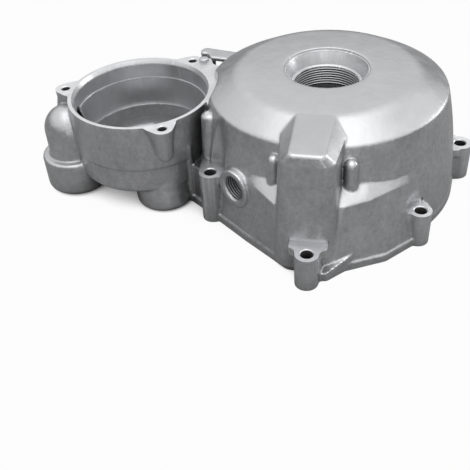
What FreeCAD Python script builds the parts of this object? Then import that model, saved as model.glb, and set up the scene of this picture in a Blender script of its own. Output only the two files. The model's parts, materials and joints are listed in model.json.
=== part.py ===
import FreeCAD, Part
import math
import os

# A die-cast aluminium cover that closes the generator side of a motorcycle engine.
# Frame: millimetres, crankshaft axis = +Z through the origin, gasket face = z 0, outside = +Z.

V = FreeCAD.Vector

# Drum over the generator
DRUM_R = 75.2               # outside, at the gasket face
DRUM_WALL = 5.3
BARREL_Z = 31.0             # height where the barrelled wall has drawn in by its inset
BARREL_INSET = 2.2
EDGE_INSET = 8.2            # where the wall meets the cone
TOP_Z = 69.85
CONE_HEIGHT = 8.3
CONE_WIDTH = 16.0
DOME_RISE = 1.7             # the top swells towards its middle
EDGE_ROUND = 3.0
TOP_BLEND = 14.0
ROOF = 6.0
CAVITY_ROUND = 5.0
EDGE_R = DRUM_R - EDGE_INSET
EDGE_Z = TOP_Z - CONE_HEIGHT
FLAT_R = EDGE_R - CONE_WIDTH
CEILING_Z = TOP_Z - ROOF
CORNER_Z = EDGE_Z - DRUM_WALL

# Centre hole for the crankshaft plug
RECESS_R = 23.6
RECESS_LIP = 1.0
RECESS_LEDGE = 1.0
RECESS_DEPTH = 8.8
RECESS_FOOT_LEDGE = 1.6
PLUG_R = 18.0
HUB_R = 25.5
HUB_HEIGHT = 25.0
RECESS_TOP_Z = TOP_Z + DOME_RISE
RECESS_FOOT_Z = RECESS_TOP_Z - RECESS_DEPTH
HUB_BOTTOM_Z = TOP_Z - HUB_HEIGHT

# Stator seat inside the drum
STATOR_SCREW_CIRCLE_R = 37.0
STATOR_POST_R = 7.0
STATOR_POST_HEIGHT = 21.0
STATOR_SCREW_R = 2.5
STATOR_SCREW_DEPTH = 14.0
STATOR_SCREW_COUNT = 3
STATOR_FIRST_AZIMUTH = 90.0
RIB_THICKNESS = 3.0
RIB_DROP = 5.0
RIB_COUNT = 6
RIB_FIRST_AZIMUTH = 30.0
STATOR_POST_BOTTOM_Z = TOP_Z - STATOR_POST_HEIGHT

# Flange round the gasket face
FLANGE_HEIGHT = 4.6
FLANGE_STEP = 0.8

# Arm of the drum that reaches under the gear pot, a belt round two circles
ARM_AZIMUTH = 174.6
ARM_STANDOFF = 9.2          # from the drum's outside to the arm's far centre
ARM_BORE_R = 10.0
ARM_WALL = 4.6
ARM_TOP_Z = 26.0
ARM_ROOF = 4.0

# Bolts of the flange: azimuth, distance beyond the drum's outside, seat height, boss radius, flare of the seat
BOLTS = {
    "front": (-103.1, 23.9, 19.8, 6.2, 3.6),
    "front_right": (-59.1, 4.8, 20.1, 6.1, 1.0),
    "right": (-7.1, 3.7, 21.3, 6.8, 1.6),
    "back_right": (43.5, 6.6, 20.0, 7.0, 2.0),
    "back": (93.7, 0.6, 20.0, 7.0, 2.0),
    "back_left": (138.3, 0.8, 20.0, 7.0, 2.0),
    "front_left": (-152.7, 2.0, 30.8, 6.3, 1.6),
}
BOLT_HOLE_R = 3.25
BOLT_ROOT_INSET = 6.5       # the boss meets the wall this far behind the bolt
SEAT_ROOT_INSET = 10.5
BOLT_SEAT_THICKNESS = 5.0   # of the flared plate at the top of a boss
RELIEF_CLEARANCE = 1.0      # socket room round the seat
RELIEF_HEIGHT = 30.0
RELIEF_WALL = 2.2           # skin kept inside the drum behind a socket relief
RELIEF_SHIFT = 3.0          # the front left relief runs on into the fork
DOWEL_R = 4.8
DOWEL_DEPTH = 8.0
DOWEL_BOLT = "right"
FORK_BOLT = "front_left"

# Shoulder round the foot of the drum: azimuth and distance beyond the drum's outside
SHOULDER_FOOT = [(-154.5, 2.8), (-130.5, 3.3), (-110.1, 15.2), (-95.6, 16.4), (-76.1, 11.2), (-61.1, 6.6),
                 (-34.1, -1.2)]
SHOULDER_EDGE = [(-150.0, -4.2), (-130.5, -1.0), (-114.7, 10.6), (-91.7, 7.4), (-81.4, 3.8), (-62.5, -0.8),
                 (-50.0, -4.2)]
SHOULDER_FOOT_Z = 3.0
SHOULDER_EDGE_Z = 36.3
SHOULDER_TOP_Z = 42.3
SHOULDER_TOP_INSET = 4.4
SHOULDER_INNER_INSET = 35.0
SHOULDER_CORNER_R = 5.0

# Upright box at the front that runs on as a rib across the top
BOX_AZIMUTH = -104.5
BOX_REAR_INSET = 45.0
BOX_LEVELS = [
    # height, half width at the front and at the rear, front beyond the drum's outside, corner radius
    (2.0, 16.4, 18.0, 16.4, 9.0),
    (TOP_Z - 5.5, 13.7, 18.6, 13.4, 6.0),
    (TOP_Z, 8.7, 10.5, 12.2, 3.5),
]
BOX_TOP_ROUND = 2.0
BOX_WALL = 4.5
BOX_POCKET_ROUND = 3.0

# Round-topped pillars either side of the box: azimuth, inset from the drum's outside, radius
PILLARS = [(-119.8, 4.0, 3.4), (-88.0, 4.2, 3.8)]
PILLAR_DROP = 5.2
PILLAR_BOTTOM_Z = 30.0

# Timing hole boss on the left of the shoulder
TIMING_AZIMUTH = -138.7
TIMING_STANDOFF = 0.8
TIMING_Z = 28.6
TIMING_HEADING = -141.0
TIMING_R = 10.9
TIMING_HOLE_R = 7.0
TIMING_LENGTH = 16.0
TIMING_HOLE_LENGTH = 24.0
TIMING_CHAMFER = 1.2

# Gear pot
POT_AZIMUTH = 173.0
POT_STANDOFF = 32.0         # from the drum's outside to the pot's centre
POT_R = 42.0                 # outside, at the rim
POT_DRAFT = 0.6              # the wall spreads by this much down to the band
POT_WALL = 3.7
POT_RIM_DROP = 12.45        # below the top of the drum
POT_RIM_BEVEL = 1.6
POT_RIM_BEVEL_DEPTH = 2.5
POT_MOUTH_DEPTH = 11.0
POT_MOUTH_STEP = 0.8
POT_DEPTH = 28.6
POT_WELL_INSET = 3.0
POT_WELL_DEPTH = 10.6
POT_BASE = 3.8
POT_BAND_HEIGHT = 15.6
POT_BAND_STEP = 0.7
POT_BOTTOM_ROUND = 3.0
POT_DISC_OFFSET = (2.4, -21.3)
POT_DISC_R = 33.0
POT_FACING_WIDTH = 2.9
POT_FACING_FLARE = 1.2
POT_RIM_Z = TOP_Z - POT_RIM_DROP
POT_FLOOR_Z = POT_RIM_Z - POT_DEPTH
POT_WELL_Z = POT_FLOOR_Z - POT_WELL_DEPTH
POT_BOTTOM_Z = POT_WELL_Z - POT_BASE
POT_BORE_R = POT_R - POT_WALL

# Lugs for the three screws of the pot's cover
LUG_REACH = 3.6             # from the pot's outside to the screws
LUG_COUNT = 3
LUG_FIRST_AZIMUTH = -72.0   # the lug nearest the front; the others follow at equal steps
LUG_R = 6.1
LUG_FOOT_R = 4.8
LUG_HEIGHT = 15.8
LUG_ROOT_R = 9.6
LUG_ROOT_INSET = 3.0
LUG_ROOT_FLARE = 0.4
LUG_SCREW_R = 2.5
LUG_SCREW_DEPTH = 10.0

# Bolt inside the gear pot, seated at the level of the well
POT_BOLT_OFFSET = (12.7, 11.1)
POT_BOLT_BOSS_R = 7.4
POT_BOLT_SEAT_R = 8.2

# Pinion housing on the left of the pot
PINION_OFFSET = (-44.9, -2.4)
PINION_R = 14.2
PINION_DOME_Z = 38.0
PINION_COLLAR_R = 19.0
PINION_COLLAR_Z = 22.5
PINION_COLLAR_ROUND = 1.8
PINION_BOTTOM_Z = 0.5
PINION_FOOT_ROUND = 4.0
PINION_NECK_R = 9.0
PINION_WALL = 3.0
PINION_NOSE_R = 12.5
PINION_NOSE_DEPTH = 14.5
BRIDGE_OFFSET = (-28.1, -2.4)       # web between the housing and the pot
BRIDGE_R = 11.2
WINDOW_HALF_WIDTH = 5.0     # gap in the pot's wall where the gears meet
WINDOW_HEIGHT = 19.0

# Round lobe under the pot, from the pot's centre
LOBE_FOOT_OFFSET = (9.9, -27.0)
LOBE_HEAD_OFFSET = (8.1, -23.5)
LOBE_R = 17.0
LOBE_BOTTOM_Z = 0.5
LOBE_OVERLAP = 6.0
LOBE_ROUND = 3.0

# Leaning column in the fork between pot and drum: azimuth, inset and radius at foot and head
COLUMN_FOOT = (-163.2, 4.2, 4.9)
COLUMN_HEAD = (-165.3, 6.1, 4.7)
COLUMN_FOOT_Z = 24.0
COLUMN_ROUND = 2.5

# Slim rib down the pot's side in the fork, from the pot's centre
SLIM_RIB_OFFSET = (25.7, -31.2)
SLIM_RIB_R = 2.6
SLIM_RIB_DROP = 20.0

# Hoop at the back round the room for a bolt's socket: plan points as azimuth and distance beyond the drum
HOOP_PLATE = [(129.4, -4.6), (135.8, 15.6), (133.9, 21.1), (135.4, 24.9), (131.6, 31.5), (117.3, -7.7)]
HOOP_RADII = [2.0, 2.5, 2.0, 2.5, 4.0, 2.0]
HOOP_TOP_DROP = 18.85       # below the top of the drum
HOOP_THICKNESS = 2.8
HOOP_ROUND = 1.2
LEG_POINTS = [(135.3, 24.6), (133.7, 21.4), (136.0, 15.0), (133.2, 14.6), (130.6, 26.2), (132.7, 29.0)]
LEG_HEIGHT = 14.0
LEG_WEB_POINTS = [(134.1, 22.3), (150.7, 2.5)]
LEG_WEB_WIDTH = 4.5
LEG_WEB_HEIGHT = 10.0

# Level web at the back of the fork, and the small round land on it
WEB_POINTS = [(170.5, 10.0), (150.0, 12.7), (144.9, 10.8), (143.4, 5.2), (147.6, -0.3), (147.9, -5.9),
              (141.6, -6.2), (141.3, -11.1), (165.9, -17.5)]
WEB_CORNER_R = 1.5
LAND_POINT = (146.6, 7.2)
LAND_R = 3.2
LAND_RISE = 2.0
LAND_ROUND = 1.0

# Oil slot in the gasket face
SLOT_AZIMUTH = 63.0
SLOT_STANDOFF = 4.2
SLOT_HALF_LENGTH = 3.6
SLOT_R = 3.2
SLOT_DEPTH = 12.0
SLOT_WALL = 4.5
SLOT_LAND_Z = 16.0

# Levering tab beside the front bolt: plan points as azimuth and distance beyond the drum
TAB_POINTS = [(-100.0, 22.3), (-97.1, 22.1), (-84.9, 9.6), (-92.9, 2.9), (-101.2, 12.5)]
TAB_LOW_Z = 5.6
TAB_HIGH_Z = 10.5

OVERCUT = 1.0               # cutters run past the faces they open


def polar(azimuth, reach):
    """Point at an azimuth in degrees and a distance from the crankshaft axis."""
    angle = math.radians(azimuth)
    return reach * math.cos(angle), reach * math.sin(angle)


def post(centre, bottom, top, radius, top_radius=None):
    """Upright cylinder, or a cone when the radius at its top is given."""
    base = V(centre[0], centre[1], bottom)
    if top_radius is None:
        return Part.makeCylinder(radius, top - bottom, base, V(0, 0, 1))
    return Part.makeCone(radius, top_radius, top - bottom, base, V(0, 0, 1))


def ball(centre, height, radius):
    """Sphere centred over a plan point."""
    return Part.makeSphere(radius, V(centre[0], centre[1], height))


def turned(points, centre=(0.0, 0.0)):
    """Solid of revolution about an upright axis, from radius and height pairs."""
    corners = [V(radius, 0, height) for radius, height in points]
    face = Part.Face(Part.makePolygon(corners + corners[:1]))
    solid = face.revolve(V(0, 0, 0), V(0, 0, 1), 360)
    solid.translate(V(centre[0], centre[1], 0))
    return solid


def belt_outline(centre_a, radius_a, centre_b, radius_b, height):
    """Closed level outline of a belt drawn tight round two circles."""
    step = V(centre_b[0] - centre_a[0], centre_b[1] - centre_a[1], 0)
    heading = math.atan2(step.y, step.x)
    lean = math.acos((radius_a - radius_b) / step.Length)

    def rim(centre, radius, angle):
        return V(centre[0] + radius * math.cos(angle), centre[1] + radius * math.sin(angle), height)

    start, end = heading + lean, heading - lean
    edges = [
        Part.Arc(rim(centre_a, radius_a, start), rim(centre_a, radius_a, heading + math.pi),
                 rim(centre_a, radius_a, end)),
        Part.LineSegment(rim(centre_a, radius_a, end), rim(centre_b, radius_b, end)),
        Part.Arc(rim(centre_b, radius_b, end), rim(centre_b, radius_b, heading),
                 rim(centre_b, radius_b, start)),
        Part.LineSegment(rim(centre_b, radius_b, start), rim(centre_a, radius_a, start)),
    ]
    return Part.Wire([edge.toShape() for edge in edges])


def belt(centre_a, radius_a, centre_b, radius_b, bottom, top):
    """Upright prism over a belt outline."""
    outline = belt_outline(centre_a, radius_a, centre_b, radius_b, bottom)
    return Part.Face(outline).extrude(V(0, 0, top - bottom))


def rounded_outline(points, radii, height):
    """Closed level outline whose corners are arcs tangent to both sides."""
    count = len(points)
    corners = [V(x, y, height) for x, y in points]
    arcs = []
    for index, corner in enumerate(corners):
        to_last = (corners[index - 1] - corner).normalize()
        to_next = (corners[(index + 1) % count] - corner).normalize()
        half = to_last.getAngle(to_next) / 2
        radius = radii[index]
        inward = (to_last + to_next).normalize()
        setback = radius / math.tan(half)
        middle = corner + inward * (radius / math.sin(half) - radius)
        arcs.append((corner + to_last * setback, middle, corner + to_next * setback))
    edges = []
    for index in range(count):
        start, middle, end = arcs[index]
        edges.append(Part.Arc(start, middle, end).toShape())
        edges.append(Part.makeLine(end, arcs[(index + 1) % count][0]))
    return Part.Wire(edges)


def skin(outlines):
    """Solid with straight sides between level outlines of like corners."""
    return Part.makeLoft(outlines, True, True)


def soften(solid, radius, wanted):
    """Rounds the edges that pass the test."""
    return solid.makeFillet(radius, [edge for edge in solid.Edges if wanted(edge)])


def level(height):
    """Test for edges that lie at one height."""
    return lambda edge: abs(edge.BoundBox.ZMin - height) < 0.01 and edge.BoundBox.ZLength < 0.01


def circle_at(height, radius):
    """Test for a full circle about an upright axis."""
    def test(edge):
        box = edge.BoundBox
        return level(height)(edge) and abs(box.XLength - 2 * radius) < 0.1 and abs(box.YLength - 2 * radius) < 0.1
    return test


def about(points):
    """Plan points from pairs of azimuth and distance beyond the drum's outside."""
    return [polar(azimuth, DRUM_R + beyond) for azimuth, beyond in points]


def shifted(centre, offset):
    return centre[0] + offset[0], centre[1] + offset[1]


POT_CENTRE = polar(POT_AZIMUTH, DRUM_R + POT_STANDOFF)
POT_BOLT = shifted(POT_CENTRE, POT_BOLT_OFFSET)
PINION_CENTRE = shifted(POT_CENTRE, PINION_OFFSET)
ARM_CENTRE = polar(ARM_AZIMUTH, DRUM_R + ARM_STANDOFF)


def bolt_spot(name):
    azimuth, beyond = BOLTS[name][:2]
    return polar(azimuth, DRUM_R + beyond)


def prism(points, radii, bottom, top):
    """Upright prism over rounded plan points."""
    return Part.Face(rounded_outline(points, radii, bottom)).extrude(V(0, 0, top - bottom))


def strip(start, end, width, bottom, top):
    """Upright wall of even thickness between two plan points."""
    length = math.hypot(end[0] - start[0], end[1] - start[1])
    wall = Part.makeBox(length, width, top - bottom, V(0, -width / 2, bottom))
    wall.rotate(V(0, 0, 0), V(0, 0, 1), math.degrees(math.atan2(end[1] - start[1], end[0] - start[0])))
    wall.translate(V(start[0], start[1], 0))
    return wall


def wall_arc(inset):
    """Barrelled wall of the drum, or of the room inside it."""
    return Part.Arc(V(DRUM_R - inset, 0, 0), V(DRUM_R - BARREL_INSET - inset, 0, BARREL_Z),
                    V(EDGE_R - inset, 0, EDGE_Z)).toShape()


def drum():
    """Barrelled wall, cone and slightly swelling top."""
    crown = V(0, 0, TOP_Z + DOME_RISE)
    half_way = V(FLAT_R / 2, 0, TOP_Z + DOME_RISE * 0.75)
    edges = [
        Part.makeLine(V(0, 0, 0), V(DRUM_R, 0, 0)),
        wall_arc(0.0),
        Part.makeLine(V(EDGE_R, 0, EDGE_Z), V(FLAT_R, 0, TOP_Z)),
        Part.Arc(V(FLAT_R, 0, TOP_Z), half_way, crown).toShape(),
        Part.makeLine(crown, V(0, 0, 0)),
    ]
    solid = Part.Face(Part.Wire(edges)).revolve(V(0, 0, 0), V(0, 0, 1), 360)
    solid = soften(solid, EDGE_ROUND, circle_at(EDGE_Z, EDGE_R))
    return soften(solid, TOP_BLEND, circle_at(TOP_Z, FLAT_R))


def around(count, first, reach):
    """Plan points at equal steps round the crankshaft axis."""
    return [polar(first + 360 * index / count, reach) for index in range(count)]


def drum_cavity():
    """Room for the generator, with what stands in it left out of the cut."""
    edges = [
        Part.makeLine(V(0, 0, 0), V(DRUM_R - DRUM_WALL, 0, 0)),
        wall_arc(DRUM_WALL),
        Part.makeLine(V(EDGE_R - DRUM_WALL, 0, EDGE_Z), V(FLAT_R, 0, CEILING_Z)),
        Part.makeLine(V(FLAT_R, 0, CEILING_Z), V(0, 0, CEILING_Z)),
        Part.makeLine(V(0, 0, CEILING_Z), V(0, 0, 0)),
    ]
    room = Part.Face(Part.Wire(edges)).revolve(V(0, 0, 0), V(0, 0, 1), 360)
    room = room.common(Part.makeCylinder(DRUM_R, CORNER_Z))
    room = soften(room, CAVITY_ROUND, level(CORNER_Z))
    facing_r = POT_R + POT_FACING_WIDTH + DRUM_WALL
    keep = [post((0, 0), HUB_BOTTOM_Z, TOP_Z, HUB_R), post(POT_CENTRE, POT_BOTTOM_Z, TOP_Z, POT_R + POT_DRAFT),
            post(POT_CENTRE, POT_RIM_Z - ROOF, TOP_Z, facing_r)]
    for spot in around(STATOR_SCREW_COUNT, STATOR_FIRST_AZIMUTH, STATOR_SCREW_CIRCLE_R):
        keep.append(post(spot, STATOR_POST_BOTTOM_Z, TOP_Z, STATOR_POST_R))
    for index in range(RIB_COUNT):
        rib = Part.makeBox(DRUM_R, RIB_THICKNESS, RIB_DROP + ROOF, V(0, -RIB_THICKNESS / 2, CORNER_Z - RIB_DROP))
        rib.rotate(V(0, 0, 0), V(0, 0, 1), RIB_FIRST_AZIMUTH + 360 * index / RIB_COUNT)
        keep.append(rib)
    return room.cut(keep[0].multiFuse(keep[1:] + relief_solids(RELIEF_WALL)))


def centre_hole():
    """Recess, cone and plug bore down through the hub."""
    bottom = HUB_BOTTOM_Z - OVERCUT
    top = RECESS_TOP_Z + OVERCUT
    ledge_z = RECESS_TOP_Z - RECESS_LIP - DOME_RISE / 4
    return turned([
        (0, bottom), (PLUG_R, bottom), (PLUG_R, RECESS_FOOT_Z), (PLUG_R + RECESS_FOOT_LEDGE, RECESS_FOOT_Z),
        (RECESS_R - RECESS_LEDGE, ledge_z), (RECESS_R, ledge_z), (RECESS_R, top), (0, top),
    ])


def stator_screws():
    spots = around(STATOR_SCREW_COUNT, STATOR_FIRST_AZIMUTH, STATOR_SCREW_CIRCLE_R)
    bottom = STATOR_POST_BOTTOM_Z
    return [post(spot, bottom - OVERCUT, bottom + STATOR_SCREW_DEPTH, STATOR_SCREW_R) for spot in spots]


def shoulder_level(corners, height):
    """One level outline of the shoulder, closed inside the drum."""
    inner = [(corners[-1][0], -SHOULDER_INNER_INSET), (corners[0][0], -SHOULDER_INNER_INSET)]
    points = about(corners + inner)
    return rounded_outline(points, [SHOULDER_CORNER_R] * len(points), height)


def shoulder():
    """Flared foot of the drum on the front side, up to its sloping ledge."""
    foot = shoulder_level(SHOULDER_FOOT, SHOULDER_FOOT_Z)
    edge = shoulder_level(SHOULDER_EDGE, SHOULDER_EDGE_Z)
    against_wall = [(azimuth, -SHOULDER_TOP_INSET) for azimuth, beyond in SHOULDER_EDGE]
    return skin([foot, edge, shoulder_level(against_wall, SHOULDER_TOP_Z)])


def flange():
    """Thin lip of the gasket face, a step proud of the walls above it."""
    arm_r = ARM_BORE_R + ARM_WALL + FLANGE_STEP
    corners = [(azimuth, beyond + FLANGE_STEP) for azimuth, beyond in SHOULDER_FOOT]
    return [
        belt((0, 0), DRUM_R + FLANGE_STEP, ARM_CENTRE, arm_r, 0, FLANGE_HEIGHT),
        Part.Face(shoulder_level(corners, 0)).extrude(V(0, 0, FLANGE_HEIGHT)),
    ]


def box_points(half_front, half_rear, front, rear):
    return [(-half_rear, -rear), (-half_front, -front), (half_front, -front), (half_rear, -rear)]


def turn_to_box(solid):
    solid.rotate(V(0, 0, 0), V(0, 0, 1), BOX_AZIMUTH + 90)
    return solid


def front_box():
    """Upright box with large corners, its roof running in over the drum as a rib."""
    outlines = []
    for height, half_front, half_rear, beyond, corner in BOX_LEVELS:
        points = box_points(half_front, half_rear, DRUM_R + beyond, DRUM_R - BOX_REAR_INSET)
        outlines.append(rounded_outline(points, [corner] * len(points), height))
    lower, middle, upper = outlines
    solid = skin([lower, middle]).fuse(skin([middle, upper])).removeSplitter()
    return turn_to_box(soften(solid, BOX_TOP_ROUND, level(TOP_Z)))


def front_box_pocket():
    """Blind pocket of the box in front of the drum's wall, open at the gasket face."""
    height, half_front, half_rear, beyond, corner = BOX_LEVELS[1]
    points = box_points(half_front - BOX_WALL, half_rear - BOX_WALL, DRUM_R + beyond - BOX_WALL,
                        DRUM_R - DRUM_WALL)
    pocket = prism(points, [BOX_POCKET_ROUND] * len(points), -OVERCUT, height - BOX_WALL)
    return turn_to_box(pocket).cut(post((0, 0), -2 * OVERCUT, TOP_Z, DRUM_R))


def pillars():
    solids = []
    for azimuth, inset, radius in PILLARS:
        spot = polar(azimuth, DRUM_R - inset)
        shaft_top = EDGE_Z - PILLAR_DROP - radius
        solids += [post(spot, PILLAR_BOTTOM_Z, shaft_top, radius), ball(spot, shaft_top, radius)]
    return solids


def timing_rod(radius, outward, inward, end_radius=None):
    """Level cylinder or cone along the timing hole, from inside the wall to its face."""
    x, y = polar(TIMING_AZIMUTH, DRUM_R + TIMING_STANDOFF)
    heading = V(*polar(TIMING_HEADING, 1.0), 0)
    start = V(x, y, TIMING_Z) - heading * inward
    if end_radius is None:
        return Part.makeCylinder(radius, inward + outward, start, heading)
    return Part.makeCone(radius, end_radius, inward + outward, start, heading)


def timing_cuts():
    chamfer = timing_rod(TIMING_HOLE_R, 0, TIMING_CHAMFER, TIMING_HOLE_R + TIMING_CHAMFER)
    return [timing_rod(TIMING_HOLE_R, OVERCUT, TIMING_HOLE_LENGTH), chamfer]


def seat_plate(spot, root, radius, flare, bottom, top):
    """Top of a boss, which spreads in hollow curves to meet the wall."""
    plate = strip(root, spot, 2 * (radius + flare), bottom, top)
    length = math.hypot(spot[0] - root[0], spot[1] - root[1])
    across = ((root[1] - spot[1]) / length, (spot[0] - root[0]) / length)
    for side in (radius + flare, -radius - flare):
        corner = shifted(spot, (side * across[0], side * across[1]))
        plate = plate.cut(post(corner, bottom - OVERCUT, top + OVERCUT, flare))
    return plate


def bolt_bosses():
    """Bosses of the bolts, each with its flared seat."""
    fork_seat, fork_r = BOLTS[FORK_BOLT][2:4]
    bosses = [post(POT_BOLT, 0, POT_WELL_Z, POT_BOLT_BOSS_R),
              belt(column_foot(), COLUMN_FOOT[2], bolt_spot(FORK_BOLT), fork_r, 0, fork_seat)]
    for name, (azimuth, beyond, seat, radius, flare) in BOLTS.items():
        spot = bolt_spot(name)
        root = polar(azimuth, DRUM_R + beyond - BOLT_ROOT_INSET)
        seat_root = polar(azimuth, DRUM_R + beyond - SEAT_ROOT_INSET)
        bosses.append(belt(root, radius + flare / 4, spot, radius, 0, seat))
        bosses.append(seat_plate(spot, seat_root, radius, flare, seat - BOLT_SEAT_THICKNESS, seat))
    return bosses


def relief_solids(grow):
    """Room for a socket above each seat, or that room grown by a skin."""
    solids = []
    for name, (azimuth, beyond, seat, radius, flare) in BOLTS.items():
        reach = radius + RELIEF_CLEARANCE + grow
        top = seat + RELIEF_HEIGHT
        spots = [bolt_spot(name)]
        if name == FORK_BOLT:
            spots.append(polar(azimuth, DRUM_R + beyond - RELIEF_SHIFT))
        for spot in spots:
            solids += [post(spot, seat - grow, top, reach), ball(spot, top, reach)]
    return solids


def bolt_holes():
    holes = [post(POT_BOLT, -OVERCUT, POT_WELL_Z + OVERCUT, BOLT_HOLE_R)]
    for name, (azimuth, beyond, seat, radius, flare) in BOLTS.items():
        holes.append(post(bolt_spot(name), -OVERCUT, seat + OVERCUT, BOLT_HOLE_R))
    return holes + [post(spot, -OVERCUT, DOWEL_DEPTH, DOWEL_R) for spot in (bolt_spot(DOWEL_BOLT), POT_BOLT)]


def slot_prism(radius, bottom, top):
    """Upright prism with round ends, turned square to the drum's radius."""
    reach = DRUM_R + SLOT_STANDOFF
    bar = Part.makeBox(2 * SLOT_HALF_LENGTH, 2 * radius, top - bottom,
                       V(-SLOT_HALF_LENGTH, reach - radius, bottom))
    ends = [post((side * SLOT_HALF_LENGTH, reach), bottom, top, radius) for side in (-1, 1)]
    solid = bar.multiFuse(ends).removeSplitter()
    solid.rotate(V(0, 0, 0), V(0, 0, 1), SLOT_AZIMUTH - 90)
    return solid


def lug_spots(reach):
    """Plan points on the lines of the pot's screws."""
    spots = []
    for index in range(LUG_COUNT):
        spots.append(shifted(POT_CENTRE, polar(LUG_FIRST_AZIMUTH + index * 360 / LUG_COUNT, reach)))
    return spots


def pot():
    """Outside of the gear pot with its three screw lugs."""
    foot_r = POT_R + POT_DRAFT
    band_r = foot_r - POT_BAND_STEP
    band_z = POT_BOTTOM_Z + POT_BAND_HEIGHT
    body = turned([
        (0, POT_BOTTOM_Z), (band_r, POT_BOTTOM_Z), (band_r, band_z),
        (foot_r, band_z + POT_BAND_STEP), (POT_R, POT_RIM_Z), (0, POT_RIM_Z),
    ], POT_CENTRE)
    solids = [soften(body, POT_BOTTOM_ROUND, circle_at(POT_BOTTOM_Z, band_r))]
    foot_z = POT_RIM_Z - LUG_HEIGHT
    for spot, root in zip(lug_spots(POT_R + LUG_REACH), lug_spots(POT_R - LUG_ROOT_INSET)):
        foot = belt_outline(root, LUG_FOOT_R + LUG_ROOT_FLARE, spot, LUG_FOOT_R, foot_z)
        solids.append(skin([foot, belt_outline(root, LUG_ROOT_R, spot, LUG_R, POT_RIM_Z)]))
        solids.append(ball(spot, foot_z, LUG_FOOT_R))
    return solids


def pot_bores():
    """Stepped bore, and the well behind the floor disc."""
    step_z = POT_RIM_Z - POT_MOUTH_DEPTH
    seat_r = POT_BORE_R - POT_MOUTH_STEP
    disc = post(shifted(POT_CENTRE, POT_DISC_OFFSET), POT_WELL_Z, POT_FLOOR_Z, POT_DISC_R)
    well = post(POT_CENTRE, POT_WELL_Z, POT_FLOOR_Z, POT_BORE_R - POT_WELL_INSET)
    bevel_r = POT_BORE_R + POT_RIM_BEVEL * (1 + OVERCUT / POT_RIM_BEVEL_DEPTH)
    return [
        post(POT_CENTRE, POT_RIM_Z - POT_RIM_BEVEL_DEPTH, POT_RIM_Z + OVERCUT, POT_BORE_R, bevel_r),
        post(POT_CENTRE, step_z, TOP_Z, POT_BORE_R),
        post(POT_CENTRE, POT_FLOOR_Z, step_z, seat_r),
        well.cut(disc),
        post(POT_BOLT, POT_WELL_Z, POT_FLOOR_Z + OVERCUT, POT_BOLT_SEAT_R),
    ]


def pot_facing():
    """Level facing round the rim, cut into the cone of the drum."""
    foot_r = POT_R + POT_FACING_WIDTH
    return post(POT_CENTRE, POT_RIM_Z, TOP_Z + OVERCUT, foot_r, foot_r + POT_FACING_FLARE)


def lug_screws():
    return [post(spot, POT_RIM_Z - LUG_SCREW_DEPTH, POT_RIM_Z + OVERCUT, LUG_SCREW_R)
            for spot in lug_spots(POT_R + LUG_REACH)]


def pinion_housing():
    """Domed housing on a wider collar, joined to the pot's left side."""
    collar = post(PINION_CENTRE, PINION_BOTTOM_Z, PINION_COLLAR_Z, PINION_COLLAR_R)
    collar = soften(collar, PINION_FOOT_ROUND, circle_at(PINION_BOTTOM_Z, PINION_COLLAR_R))
    collar = soften(collar, PINION_COLLAR_ROUND, circle_at(PINION_COLLAR_Z, PINION_COLLAR_R))
    shaft_bottom = PINION_BOTTOM_Z + PINION_FOOT_ROUND
    bridge = post(shifted(POT_CENTRE, BRIDGE_OFFSET), shaft_bottom, PINION_DOME_Z, BRIDGE_R)
    neck = post(lug_spots(POT_R + LUG_REACH)[-1], PINION_DOME_Z, POT_RIM_Z, PINION_NECK_R, LUG_FOOT_R)
    return [collar, post(PINION_CENTRE, shaft_bottom, PINION_DOME_Z, PINION_R),
            ball(PINION_CENTRE, PINION_DOME_Z, PINION_R), bridge, neck]


def pinion_room():
    """Inside of the pinion housing, open below, with the gear window into the pot."""
    radius = PINION_R - PINION_WALL
    nose_top = PINION_BOTTOM_Z + PINION_NOSE_DEPTH
    window = Part.makeBox(POT_R - POT_BORE_R + 2 * OVERCUT, 2 * WINDOW_HALF_WIDTH, WINDOW_HEIGHT,
                          V(POT_CENTRE[0] - POT_R, POT_CENTRE[1] - WINDOW_HALF_WIDTH, POT_FLOOR_Z))
    return [
        post(PINION_CENTRE, nose_top - OVERCUT, PINION_DOME_Z, radius),
        ball(PINION_CENTRE, PINION_DOME_Z, radius),
        post(PINION_CENTRE, PINION_BOTTOM_Z - OVERCUT, nose_top, PINION_NOSE_R),
        window,
    ]


def leaning_post(foot, foot_z, foot_r, head, head_z, head_r):
    """Round post whose head stands beside its foot."""
    rings = []
    for spot, height, radius in ((foot, foot_z, foot_r), (head, head_z, head_r)):
        rings.append(Part.Wire(Part.makeCircle(radius, V(spot[0], spot[1], height), V(0, 0, 1))))
    return skin(rings)


def lobe():
    """Round lobe under the pot, leaning a little, with a rounded foot."""
    foot, head = shifted(POT_CENTRE, LOBE_FOOT_OFFSET), shifted(POT_CENTRE, LOBE_HEAD_OFFSET)
    solid = leaning_post(foot, LOBE_BOTTOM_Z, LOBE_R, head, POT_BOTTOM_Z + LOBE_OVERLAP, LOBE_R)
    return soften(solid, LOBE_ROUND, level(LOBE_BOTTOM_Z))


def column_foot():
    return polar(COLUMN_FOOT[0], DRUM_R - COLUMN_FOOT[1])


def fork_column():
    """Half-round column that leans back into the fork between pot and drum."""
    head = polar(COLUMN_HEAD[0], DRUM_R - COLUMN_HEAD[1])
    solid = leaning_post(column_foot(), COLUMN_FOOT_Z, COLUMN_FOOT[2], head, POT_RIM_Z, COLUMN_HEAD[2])
    return soften(solid, COLUMN_ROUND, level(POT_RIM_Z))


def slim_rib():
    top = POT_RIM_Z - SLIM_RIB_DROP
    spot = shifted(POT_CENTRE, SLIM_RIB_OFFSET)
    return [post(spot, LOBE_BOTTOM_Z, top, SLIM_RIB_R), ball(spot, top, SLIM_RIB_R)]


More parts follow.
